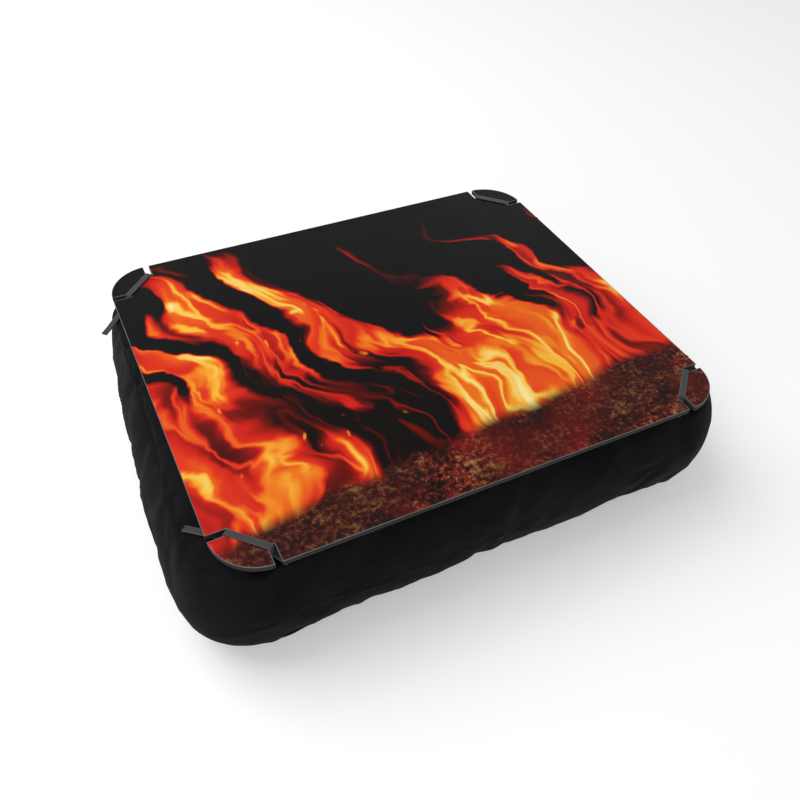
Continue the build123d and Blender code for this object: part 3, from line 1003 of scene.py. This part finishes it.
def settle(points):
    """Moves points as the filling has shifted, away from the zip."""
    settled = points.copy()
    x, y, z = points.T
    left = np.clip((-x - lean_from) / lean_fade, 0, 1)
    left = left * left * (3 - 2 * left)
    upright = np.clip((z - 0.004) / 0.02, 0, 1) * np.clip((0.104 - z) / 0.016, 0, 1)
    push = np.interp(y, lean_at, lean_by) * mm
    settled[:, 0] -= left * push * (0.35 + 0.65 * upright)
    edge = np.hypot(x / hem_half_x, (y - centre_y) / hem_half_y)
    edge = np.clip((edge - 0.9) / 0.1, 0, 1)
    low = np.clip((hem_top - z) / hem_top, 0, 1) * edge * (y < hem_end_y)
    wave = slow_noise(points, 17, 0, 3.1)
    settled[:, 2] += low * (wave + 0.15) * hem_wave * mm
    settled[:, 2] = np.maximum(settled[:, 2], base_low.z + floor_gap)
    return settled


write_points(cushion.data, settle(read_points(cushion.data)))

# %% [markdown]
# ## Seams and creases
# One subdivision makes four faces of each. Then the seams are drawn in as narrow grooves, short
# puckers run away from them, and slow soft creases cross the walls. All of it moves points along
# their normals by a millimetre or so, because folds that are only bump aren't in the mesh.

# %% Add the seams' grooves, puckers and creases
def subdivide(obj):
    """One level of subdivision, made part of the mesh."""
    open_ends(obj)
    smooth = obj.modifiers.new("rounder", "SUBSURF")
    smooth.levels = 1
    smooth.render_levels = 1
    graph = bpy.context.evaluated_depsgraph_get()
    obj.data = bpy.data.meshes.new_from_object(obj.evaluated_get(graph), depsgraph=graph)
    obj.modifiers.clear()
    close_ends(obj)


subdivide(cushion)


def near_zip(points):
    """1 on the pinned wall round the zip, falling to 0 a centimetre away."""
    x, y, z = points.T
    back = np.clip((y - (centre_y + seam_half.y - 4 * mm)) / (3 * mm), 0, 1)
    beside = np.clip((slot_half + 20 * mm - np.abs(x)) / (10 * mm), 0, 1)
    level = np.clip((22 * mm - np.abs(z - zip_height)) / (8 * mm), 0, 1)
    return back * beside * level


seam_depth = 1.1
pucker_top, pucker_bottom = 0.75, 1.0
slow_depth, ridge_depth, twist_depth = 1.2, 0.6, 0.25


def crease_field(points):
    """How far each point moves along its normal, in metres, from depths in millimetres."""
    x, y, z = points.T
    outward = np.hypot(x, y - centre_y)
    around = np.arctan2(y - centre_y, x)
    near_top = np.exp(-((z - top_seam) / (1.1 * mm)) ** 2)
    near_bottom = np.exp(-((z - bottom_seam) / (1.3 * mm)) ** 2)
    wide_top = np.exp(-np.abs(z - top_seam) / (9 * mm))
    wide_bottom = np.exp(-np.abs(z - bottom_seam) / (12 * mm))
    at_wall = np.clip((outward - 0.15) / 0.03, 0, 1)
    pucker = slow_noise(points, 95, 22)
    slow = slow_noise(points, 26, 15, 7)
    ridge = np.clip(1 - np.abs(slow_noise(points, 34, 40, 19)) * 2.6, 0, 1) ** 3
    field = -seam_depth * (near_top + near_bottom) * at_wall
    field += pucker * (pucker_top * wide_top + pucker_bottom * wide_bottom) * at_wall
    field += slow * slow_depth + (ridge - 0.2) * ridge_depth * at_wall
    field += twist_depth * np.sin(around * 9 + z * 70) * wide_bottom
    flat = (z < base_low.z + 0.8 * mm) | (z > crown_top - 0.3 * mm)
    return field * mm * (1 - near_zip(points)) * (~flat)


fine_points = read_points(cushion.data)
fine_points += crease_field(fine_points)[:, None] * read_points(cushion.data, "normal")

# %% [markdown]
# The straps' tails press into the crown, and nothing of the cloth may come through the board's
# underside. Each corner's strap is a line in plan, and the cloth near it stays under the strap.

# %% Keep the cloth under the board and the straps
strap_room = 0.5 * mm
board_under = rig.box("backing_laminate")[0].z
strap_names = ["strap_front_left", "strap_front_right", "strap_back_left", "strap_back_right"]
tail_steps = [step * mm for step in (0, 6, 13, 40)]
tail_heights = [top_seam + rise * mm for rise in (-0.9, -0.2, 0.8, 5)]
press_half, press_fade, fade_rise = 3.2 * mm, 10 * mm, 9
press_first, press_last = -4 * mm, 60 * mm


def strap_line(name):
    """The strap's two ends in plan, taken from the corners of its box."""
    low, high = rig.box(name)
    side_x = 1 if low.x > 0 else -1
    side_y = 1 if low.y > 0 else -1
    outer_x = high.x if side_x > 0 else low.x
    outer_y = high.y if side_y > 0 else low.y
    inner_x = low.x if side_x > 0 else high.x
    inner_y = low.y if side_y > 0 else high.y
    return Vector((outer_x, inner_y)), Vector((inner_x, outer_y))


def press_under(points):
    """Lowers points that would come through the board or a strap."""
    pressed = points.copy()
    ceiling = np.full(len(points), crown_top)
    for name in strap_names:
        side_end, far_end = strap_line(name)
        run = (far_end - side_end).normalized()
        across = Vector((-run.y, run.x))
        x, y = points[:, 0] - side_end.x, points[:, 1] - side_end.y
        offset = np.abs(x * across.x + y * across.y)
        along = x * run.x + y * run.y
        length = (far_end - side_end).length
        from_end = np.minimum(along, length - along)
        low_line = np.interp(from_end, tail_steps, tail_heights)
        beside = np.clip((offset - press_half) / press_fade, 0, 1)
        here = low_line - strap_room + beside * fade_rise * mm
        inside = ((from_end > press_first) & (from_end < press_last)
                  & (points[:, 2] > top_seam - 4 * mm))
        ceiling = np.where(inside, np.minimum(ceiling, here), ceiling)
    on_crown = points[:, 2] > top_seam - 2 * mm
    pressed[:, 2] = np.where(on_crown, np.minimum(points[:, 2], ceiling), points[:, 2])
    return pressed


fine_points = press_under(fine_points)
fine_points[:, 2] = np.maximum(fine_points[:, 2], base_low.z + floor_gap)
write_points(cushion.data, fine_points)
shade(cushion.data)
cushion.data.materials.append(cover_cloth.material)
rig.ride(cushion, "cushion")
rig.replaces(cushion, "cover_top_panel", "cover_bottom_panel", "side_gusset",
            "back_gusset_upper", "back_gusset_lower")
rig.slot(cushion, "cover_cloth")
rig.padded(cushion, fill=0.8)
low_corner, high_corner = fine_points.min(0) / mm, fine_points.max(0) / mm
print("cushion spans", low_corner.round(1), "to", high_corner.round(1), "mm")

# %% [markdown]
# ## Liner and beads
# Inside the cover is a cotton bag full of foam beads. Neither shows, but whoever opens the zip
# would find them, so they are the same rings set further in, with the same lean.

# %% Make the liner and the beads
inner_counts = (24, 34, 8)
zip_room = 3 * mm
crease_reach = 15 * mm


def stay_inside(points, margin):
    """Moves points that a crease of the cover has come too near to back inside it."""
    kept = points.copy()
    for index, point in enumerate(points):
        _, spot, normal, _ = cushion.closest_point_on_mesh(Vector(point))
        depth = (spot - Vector(point)).dot(normal)
        if depth < margin and (spot - Vector(point)).length < crease_reach:
            kept[index] = spot - normal * margin
    return kept


bpy.context.view_layer.update()
inside_pieces = [
    ("liner_cushion", "liner_bag", 3.4 * mm, liner_cloth, "liner_cloth"),
    ("bead_cushion", "bead_fill", 5.2 * mm, beads, "beads"),
]
for piece_name, node_name, inset, finish, slot_name in inside_pieces:
    inner, _, _ = build_cushion(piece_name, inner_counts, inset, zip_room, with_slot=False)
    subdivide(inner)
    inner_points = settle(read_points(inner.data))
    inner_points[:, 2] = np.maximum(inner_points[:, 2], base_low.z + inset)
    inner_points[:, 2] = press_under(inner_points + np.array((0, 0, inset)))[:, 2] - inset
    write_points(inner.data, stay_inside(inner_points, inset * 0.7))
    shade(inner.data)
    inner.data.materials.append(finish.material)
    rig.ride(inner, "cushion")
    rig.replaces(inner, node_name)
    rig.slot(inner, slot_name)
    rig.padded(inner, fill=0.8)
    print(piece_name, "has", len(inner.data.vertices), "points")

# %% [markdown]
# ## Elastic corner straps
# Each strap lies across a corner tab of the board, goes down through the two slots and is sewn
# to the cushion's top seam. A flat strap is a ribbon: one line, with a thin rounded section
# swept along it. The line turns over the board's edges with a small radius, and a UV map runs
# along and across it for the ribs.

# %% Define the ribbon
strap_width = 5 * mm
strap_thickness = 1 * mm
strap_turn = 1.1 * mm
strap_step = 1.2 * mm
ribbon_rim = (
    (-0.5, -0.28), (-0.46, -0.5), (-0.23, -0.5), (0, -0.5), (0.23, -0.5), (0.46, -0.5),
    (0.5, -0.28), (0.5, 0.28), (0.46, 0.5), (0.23, 0.5), (0, 0.5), (-0.23, 0.5),
    (-0.46, 0.5), (-0.5, 0.28))


def round_corners(points, radius, steps=5):
    """The line with each inner corner replaced by a small arc."""
    line = [points[0]]
    for before, corner, after in zip(points, points[1:], points[2:]):
        come = (before - corner).normalized()
        leave = (after - corner).normalized()
        half = come.angle(leave) / 2
        cut = min(radius / max(abs(sin(half) / cos(half)), 0.05),
                  (before - corner).length * 0.45, (after - corner).length * 0.45)
        start, end = corner + come * cut, corner + leave * cut
        for step in range(steps + 1):
            t = step / steps
            line.append(start.lerp(corner, t).lerp(corner.lerp(end, t), t))
    line.append(points[-1])
    return line


def spread(line, gap):
    """The line with points added, so that no step is longer than the gap."""
    dense = [line[0]]
    for a, b in zip(line, line[1:]):
        pieces = max(1, int((b - a).length / gap))
        for step in range(1, pieces + 1):
            dense.append(a.lerp(b, step / pieces))
    return dense


def ribbon(name, line, width, thickness, across):
    """A closed flat ribbon along a line, whose width points along the across vector."""
    points, lengths = [], [0.0]
    for index, spot in enumerate(line):
        before = line[max(index - 1, 0)]
        after = line[min(index + 1, len(line) - 1)]
        ahead = (after - before).normalized()
        lift = ahead.cross(across).normalized()
        if index:
            lengths.append(lengths[-1] + (spot - line[index - 1]).length)
        points += [spot + across * (a * width) + lift * (b * thickness) for a, b in ribbon_rim]
    count = len(ribbon_rim)
    faces = []
    for step in range(len(line) - 1):
        for side in range(count):
            after = (side + 1) % count
            faces.append((step * count + side, (step + 1) * count + side,
                          (step + 1) * count + after, step * count + after))
    faces.append(tuple(range(count)))
    faces.append(tuple(range(len(points) - 1, len(points) - count - 1, -1)))
    mesh = bpy.data.meshes.new(name)
    mesh.from_pydata([tuple(point) for point in points], [], faces)
    chart = mesh.uv_layers.new(name="flat_pattern")
    for polygon in mesh.polygons:
        for loop, vertex in zip(polygon.loop_indices, polygon.vertices):
            chart.data[loop].uv = (lengths[vertex // count], ribbon_rim[vertex % count][0] * width)
    work = bmesh.new()
    work.from_mesh(mesh)
    bmesh.ops.recalc_face_normals(work, faces=work.faces)
    work.to_mesh(mesh)
    work.free()
    shade(mesh)
    return add_object(name, mesh)


# %% [markdown]
# The tray can be pulled up off its straps. The elastic then springs back on to the cushion, so
# each strap flattens towards the seam as the tray lifts.

# %% Lay the four straps
leg_x, leg_y = 187.4 * mm, 134 * mm
end_x, end_y = 164 * mm, 157.4 * mm
slack_kept = 0.62
loose_ends = {"strap_back_left": 9 * mm}
board_gap = 0.1 * mm
board_middle_y = (board_low.y + board_high.y) / 2
for name in strap_names:
    side_x = 1 if "right" in name else -1
    side_y = 1 if "back" in name else -1
    side_leg = Vector((side_x * leg_x, board_middle_y + side_y * leg_y, 0))
    end_leg = Vector((side_x * end_x, board_middle_y + side_y * end_y, 0))
    run = (end_leg - side_leg).normalized()
    side_out = (seam_half.x - leg_x) * sqrt(2)
    end_out = (seam_half.y - end_y) * sqrt(2)
    high = board_high.z + board_gap + strap_thickness / 2
    low = board_under - board_gap - strap_thickness
    seam = top_seam + 1.3 * mm + strap_thickness / 2
    loose_end = loose_ends.get(name, 0.5 * mm)
    path = [
        side_leg - run * (side_out + loose_end) + Vector((0, 0, top_seam + strap_thickness)),
        side_leg - run * side_out + Vector((0, 0, seam)),
        side_leg + Vector((0, 0, low)),
        side_leg + Vector((0, 0, high)),
        end_leg + Vector((0, 0, high)),
        end_leg + Vector((0, 0, low)),
        end_leg + run * end_out + Vector((0, 0, seam)),
    ]
    across = run.cross(Vector((0, 0, 1))).normalized()
    line = spread(round_corners(path, strap_turn), strap_step)
    strap = ribbon(name + "_ribbon", line, strap_width, strap_thickness, across)
    strap.data.materials.append(elastic.material)
    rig.ride(strap, "cushion")
    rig.replaces(strap, name)
    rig.slot(strap, "elastic")
    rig.squash(strap, "tray_lift", axis=(0, 0, 1), anchor=(side_leg.x, side_leg.y, top_seam),
              keep=slack_kept)
print("straps laid:", len(strap_names))

# %% [markdown]
# ## Stitches by Geometry Nodes
# A row of stitches is one small shape repeated along a line, which is what Geometry Nodes are
# for. The tree turns a line of edges into a curve, puts a point every few millimetres, and lays
# a tiny rounded stitch along the curve at each one. The same tree sews every row here.

# %% Build the stitch tree
def add_inputs(tree, names):
    """Gives a tree its geometry sockets and named size inputs, and returns their identifiers."""
    tree.interface.new_socket("Geometry", in_out="INPUT", socket_type="NodeSocketGeometry")
    tree.interface.new_socket("Geometry", in_out="OUTPUT", socket_type="NodeSocketGeometry")
    made = [tree.interface.new_socket(label, in_out="INPUT", socket_type="NodeSocketFloat")
            for label in names]
    return {socket.name: socket.identifier for socket in made}


def stitch_tree(material):
    """The tree that sews a row, and the identifiers of its sizes."""
    tree = bpy.data.node_groups.new("stitch_row", "GeometryNodeTree")
    sizes = add_inputs(tree, ("Stitch Pitch", "Stitch Length", "Thread Width"))
    make, wire = tree.nodes.new, tree.links.new
    start, finish = make("NodeGroupInput"), make("NodeGroupOutput")
    curve, points = make("GeometryNodeMeshToCurve"), make("GeometryNodeResampleCurve")
    points.mode = "LENGTH"
    ball = make("GeometryNodeMeshUVSphere")
    ball.inputs["Segments"].default_value = 6
    ball.inputs["Rings"].default_value = 4
    ball.inputs["Radius"].default_value = 0.5
    scale, lay = make("ShaderNodeCombineXYZ"), make("GeometryNodeInstanceOnPoints")
    tangent, turn = make("GeometryNodeInputTangent"), make("FunctionNodeAlignRotationToVector")
    turn.axis = "X"
    real, paint = make("GeometryNodeRealizeInstances"), make("GeometryNodeSetMaterial")
    paint.inputs["Material"].default_value = material
    wire(start.outputs["Geometry"], curve.inputs["Mesh"])
    wire(curve.outputs["Curve"], points.inputs["Curve"])
    wire(start.outputs["Stitch Pitch"], points.inputs["Length"])
    wire(start.outputs["Stitch Length"], scale.inputs[0])
    wire(start.outputs["Thread Width"], scale.inputs[1])
    wire(start.outputs["Thread Width"], scale.inputs[2])
    wire(points.outputs["Curve"], lay.inputs["Points"])
    wire(ball.outputs["Mesh"], lay.inputs["Instance"])
    wire(tangent.outputs[0], turn.inputs["Vector"])
    wire(turn.outputs[0], lay.inputs["Rotation"])
    wire(scale.outputs[0], lay.inputs["Scale"])
    wire(lay.outputs[0], real.inputs[0])
    wire(real.outputs[0], paint.inputs["Geometry"])
    wire(paint.outputs[0], finish.inputs[0])
    return tree, sizes


def grow_on(name, points, edges, tree, identifiers, values):
    """Runs a tree on a line of points and edges, and returns its result as a plain object."""
    guide_mesh = bpy.data.meshes.new(name + "_guide")
    guide_mesh.from_pydata([tuple(point) for point in points], edges, [])
    guide = add_object(name + "_guide", guide_mesh)
    nodes_modifier = guide.modifiers.new("grow", "NODES")
    nodes_modifier.node_group = tree
    for label, value in values.items():
        nodes_modifier[identifiers[label]] = value
    graph = bpy.context.evaluated_depsgraph_get()
    mesh = bpy.data.meshes.new_from_object(guide.evaluated_get(graph), depsgraph=graph)
    guide.modifiers.clear()
    bpy.data.objects.remove(guide)
    shade(mesh)
    return add_object(name, mesh)


stitches, stitch_inputs = stitch_tree(thread.material)

# %% [markdown]
# The zip is topstitched all round, a few millimetres from the lips. Each point of the row is
# dropped on to the cloth from behind, so the row lies on the wall wherever that is.

# %% Sew round the zip
row_rise = 9.2 * mm
row_half = slot_half + 5 * mm
bpy.context.view_layer.update()


def on_back_wall(x, z):
    """The point of the back wall behind x and z, a hair off the cloth, or None."""
    found, spot, normal, _ = cushion.ray_cast(Vector((x, 0.3, z)), Vector((0, -1, 0)))
    return spot + normal * 0.05 * mm if found else None


row_low, row_high = zip_height - row_rise, zip_height + row_rise
row_points, end_points = 180, 14
row = [(x, row_low) for x in np.linspace(-row_half, row_half, row_points)]
row += [(row_half, z) for z in np.linspace(row_low, row_high, end_points)[1:-1]]
row += [(x, row_high) for x in np.linspace(row_half, -row_half, row_points)]
row += [(-row_half, z) for z in np.linspace(row_high, row_low, end_points)[1:-1]]
zip_row = [spot for spot in (on_back_wall(x, z) for x, z in row) if spot]
zip_edges = [(i, (i + 1) % len(zip_row)) for i in range(len(zip_row))]
zip_stitches = grow_on("zip_topstitch", zip_row, zip_edges, stitches, stitch_inputs,
                       {"Stitch Pitch": 3.0 * mm, "Stitch Length": 2.3 * mm,
                        "Thread Width": 0.45 * mm})
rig.ride(zip_stitches, "cushion")
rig.slot(zip_stitches, "cover_cloth")
print("zip row has", len(zip_stitches.data.polygons), "faces")

# %% [markdown]
# ## Bar tacks on the straps
# A strap is held by a dense zigzag of thread near its end. The zigzag is a short line across the
# band, sewn by the same tree with a smaller pitch.

# %% Sew a bar tack on each strap's tails
tack_turns = 9
tack_length = 1.6 * mm
tack_in = 3.2 * mm
tack_share = 0.8
tack_rise = 0.12 * mm
for name in strap_names:
    strap = bpy.data.objects[name + "_ribbon"]
    spots = read_points(strap.data)
    sections = spots.reshape(-1, len(ribbon_rim), 3)
    top_line = sections[:, 8:13].mean(axis=1)
    if top_line[len(top_line) // 2][2] < sections[len(sections) // 2, :, 2].mean():
        top_line = sections[:, 1:6].mean(axis=1)
    first = int(tack_in / strap_step)
    zigzag = []
    for centre, near, rim in ((top_line[first], top_line[first + 1], sections[first]),
                              (top_line[-first - 1], top_line[-first - 2], sections[-first - 1])):
        side = rim[6] - rim[0]
        side /= np.linalg.norm(side)
        ahead = near - centre
        ahead /= np.linalg.norm(ahead)
        up = np.cross(side, ahead)
        up *= np.sign(up[2])
        zigzag += [centre + side * (turn / (tack_turns - 1) - 0.5) * strap_width * tack_share
                   + ahead * (turn % 2 - 0.5) * tack_length + up * tack_rise
                   for turn in range(tack_turns)]
    edges = [(i, i + 1) for i in range(len(zigzag) - 1) if i != tack_turns - 1]
    tack = grow_on(name + "_tack", zigzag, edges, stitches, stitch_inputs,
                   {"Stitch Pitch": 0.5 * mm, "Stitch Length": 0.6 * mm,
                    "Thread Width": 0.35 * mm})
    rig.ride(tack, "cushion")
    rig.slot(tack, "elastic")
    anchor = strap["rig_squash"]["anchor"]
    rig.squash(tack, "tray_lift", axis=(0, 0, 1), anchor=tuple(anchor), keep=slack_kept)
print("bar tacks sewn on", len(strap_names), "straps")

# %% [markdown]
# ## The painted highlight round the board
# The board's cut edges catch the light as a thin pale line round the board and along its slots, and here
# that line is a tiny pale grey bead, a painted highlight. The line is the outline of the print's own flat
# top, found on a merged copy of the solid, and a second tree sweeps the bead along it.

# %% Sweep the painted highlight bead along the print's outline
painted_highlight_finish = Finish("painted_highlight_lip", roughness=0.3, Specular_IOR_Level=0.5)
painted_highlight_patches = painted_highlight_finish.noise(painted_highlight_finish.place(), 60, 3)
# The bead's grey, pale in patches, is a painted highlight of the cut edge catching the light.
painted_highlight_finish.color(painted_highlight_finish.mix(painted_highlight_patches, (0.035, 0.035, 0.038), (0.16, 0.16, 0.165)))


def lip_tree(material):
    """The tree that sweeps the painted highlight bead, and the identifiers of its sizes."""
    tree = bpy.data.node_groups.new("painted_highlight_lip", "GeometryNodeTree")
    sizes = add_inputs(tree, ("Lip Width", "Lip Height"))
    make, wire = tree.nodes.new, tree.links.new
    start, finish = make("NodeGroupInput"), make("NodeGroupOutput")
    curve, section = make("GeometryNodeMeshToCurve"), make("GeometryNodeCurvePrimitiveQuadrilateral")
    sweep, real = make("GeometryNodeCurveToMesh"), make("GeometryNodeRealizeInstances")
    paint = make("GeometryNodeSetMaterial")
    paint.inputs["Material"].default_value = material
    wire(start.outputs["Geometry"], curve.inputs["Mesh"])
    wire(start.outputs["Lip Width"], section.inputs["Width"])
    wire(start.outputs["Lip Height"], section.inputs["Height"])
    wire(curve.outputs["Curve"], sweep.inputs["Curve"])
    wire(section.outputs["Curve"], sweep.inputs["Profile Curve"])
    wire(sweep.outputs["Mesh"], real.inputs[0])
    wire(real.outputs[0], paint.inputs["Geometry"])
    wire(paint.outputs[0], finish.inputs[0])
    return tree, sizes


merge_reach = 0.002 * mm
lip_size = {"Lip Width": 0.45 * mm, "Lip Height": 0.16 * mm}
outline = bmesh.new()
outline.from_mesh(nodes["top_laminate"].data)
bmesh.ops.remove_doubles(outline, verts=outline.verts, dist=merge_reach)
outline.normal_update()
rim_edges = [edge for edge in outline.edges if len(edge.link_faces) == 2
             and max(face.normal.z for face in edge.link_faces) > 0.99
             and min(face.normal.z for face in edge.link_faces) < 0.9]
rim_verts = sorted({vert for edge in rim_edges for vert in edge.verts}, key=lambda v: v.index)
keys = {vert: place for place, vert in enumerate(rim_verts)}
lip_points = [vert.co[:] for vert in rim_verts]
lip_edges = [(keys[edge.verts[0]], keys[edge.verts[1]]) for edge in rim_edges]
outline.free()
lip_nodes, lip_inputs = lip_tree(painted_highlight_finish.material)
painted_highlight_lip = grow_on("painted_highlight_lip", lip_points, lip_edges, lip_nodes, lip_inputs, lip_size)
shade(painted_highlight_lip.data, smooth=False)
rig.ride(painted_highlight_lip, "tray")
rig.slot(painted_highlight_lip, "printed_sheet")
print("film lip has", len(painted_highlight_lip.data.polygons), "faces")

# %% [markdown]
# ## Finish
# The two boxes are kept so that the dressed part can be compared with its solids.

# %% Write the sizes
with open("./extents.json", "w") as size_file:
    json.dump({"cad": [list(corner) for corner in cad_box],
               "visual": [list(corner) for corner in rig.bounds()]}, size_file)
